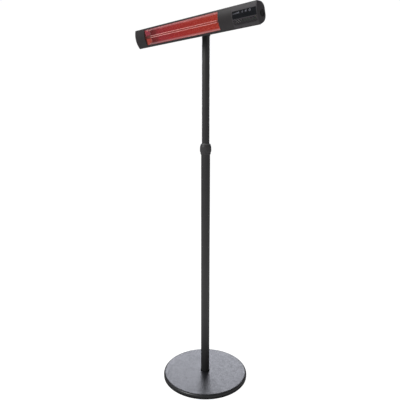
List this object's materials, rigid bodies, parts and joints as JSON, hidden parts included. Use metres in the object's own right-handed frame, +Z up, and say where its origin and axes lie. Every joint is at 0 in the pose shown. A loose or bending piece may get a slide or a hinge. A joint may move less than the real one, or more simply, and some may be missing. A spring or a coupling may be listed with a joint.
{
  "type": "outdoor heater",
  "caption": "Free-standing infrared patio heater: tilting lamp head on a telescopic pole with a twist-lock collar and a weighted round base.",
  "frame": {"origin": "on the pole's axis at floor level, under the middle of the base", "axes": "+Z up along the pole, +X along the head to its control end, the lamp faces -Y"},
  "size_m": [0.864, 0.5, 2.0283],
  "materials": {
    "housing_paint": "matt textured powder coat",
    "cap_plastic": "fine textured",
    "fascia_plastic": "fine textured",
    "display_glass": "high gloss",
    "gasket_rubber": "matt",
    "reflector_mirror": "polished and embossed",
    "guard_wire": "bright drawn wire",
    "quartz": "clear tube tinted by its glow",
    "filament": "glowing coil",
    "ceramic": "unglazed ceramic",
    "spring_steel": "bright",
    "sheet_steel": "galvanised",
    "lead_sleeve": "glass-fibre sleeve",
    "wire_brown": "matt",
    "board_green": "solder resist",
    "component_black": "moulded",
    "terminal_white": "moulded",
    "switch_black": "satin",
    "gland_plastic": "moulded nylon",
    "fastener_steel": "zinc black",
    "brass": "machined",
    "knob_plastic": "fine textured",
    "bracket_paint": "matt textured powder coat",
    "tube_paint": "satin powder coat",
    "collar_plastic": "fine textured",
    "collar_ring_plastic": "satin",
    "bush_plastic": "acetal",
    "base_paint": "satin powder coat",
    "tray_plastic": "moulded",
    "foot_rubber": "matt",
    "cast_weight": "sand cast"
  },
  "bodies": {
    "stand": {"rubber_feet": "foot_rubber", "base_tray": "tray_plastic", "base_weight": "cast_weight", "base_cover": "base_paint", "base_washer": "fastener_steel", "base_bolt": "fastener_steel", "pole_foot_plug": "sheet_steel", "foot_ring": "tray_plastic", "lower_tube": "tube_paint", "collar_base": "collar_plastic", "grip_collet": "bush_plastic"},
    "collar": {"collar_nut": "collar_plastic", "collar_ring": "collar_ring_plastic"},
    "slider": {"guide_sleeve": "bush_plastic"},
    "mast": {"upper_tube": "tube_paint", "retaining_ring": "spring_steel", "tube_foot_plug": "bush_plastic", "mast_bracket": "bracket_paint", "pivot_spacer": "sheet_steel", "friction_washers": "gasket_rubber"},
    "head": {"rear_shell": "housing_paint", "front_cover": "housing_paint", "control_fascia": "fascia_plastic", "display_lens": "display_glass", "end_cap_left": "cap_plastic", "end_cap_right": "cap_plastic", "end_gasket_left": "gasket_rubber", "end_gasket_right": "gasket_rubber", "guard_grille": "guard_wire", "reflector": "reflector_mirror", "reflector_end_left": "reflector_mirror", "reflector_end_right": "reflector_mirror", "quartz_tube": "quartz", "lamp_filament": "filament", "lamp_base_left": "ceramic", "lamp_base_right": "ceramic", "lamp_clips": "spring_steel", "lamp_leads": "lead_sleeve", "heat_shield": "sheet_steel", "bulkhead": "sheet_steel", "control_board": "board_green", "control_board_parts": "component_black", "power_board": "board_green", "board_standoffs": "brass", "power_board_parts": "component_black", "terminal_block": "terminal_white", "supply_wires": "wire_brown", "switch_body": "switch_black", "cable_gland": "gland_plastic", "gland_seal": "gasket_rubber", "gland_nut": "gland_plastic", "gland_lock_nut": "gland_plastic", "head_bracket": "bracket_paint", "bracket_screws": "fastener_steel", "bracket_nuts": "fastener_steel", "pivot_bolt": "fastener_steel", "end_cap_screws": "fastener_steel"},
    "knob": {"tilt_knob": "knob_plastic", "knob_insert": "brass"},
    "rocker": {"switch_rocker": "switch_black"}
  },
  "joints": [
    {"name": "collar_twist", "type": "hinge", "parent": "stand", "child": "collar", "pos_m": [0, 0, 1.365], "axis": [0, 0, 1], "range_deg": [0, 90]},
    {"name": "mast_slide", "type": "slide", "parent": "stand", "child": "slider", "axis": [0, 0, 1], "range_m": [-0.5, 0]},
    {"name": "mast_swivel", "type": "hinge", "parent": "slider", "child": "mast", "pos_m": [0, 0, 1.25], "axis": [0, 0, 1], "continuous": true},
    {"name": "head_tilt", "type": "hinge", "parent": "mast", "child": "head", "pos_m": [0, -0.04932, 2.00053], "axis": [1, 0, 0], "range_deg": [-17.3, 42.7]},
    {"name": "knob_turn", "type": "hinge", "parent": "head", "child": "knob", "pos_m": [0.04, -0.04932, 2.00053], "axis": [1, 0, 0], "range_deg": [0, 360]},
    {"name": "switch_rock", "type": "hinge", "parent": "head", "child": "rocker", "pos_m": [0.4256, -0.09452, 1.98121], "axis": [0, -0.2974, 0.9548], "range_deg": [-14, 0]}
  ]
}
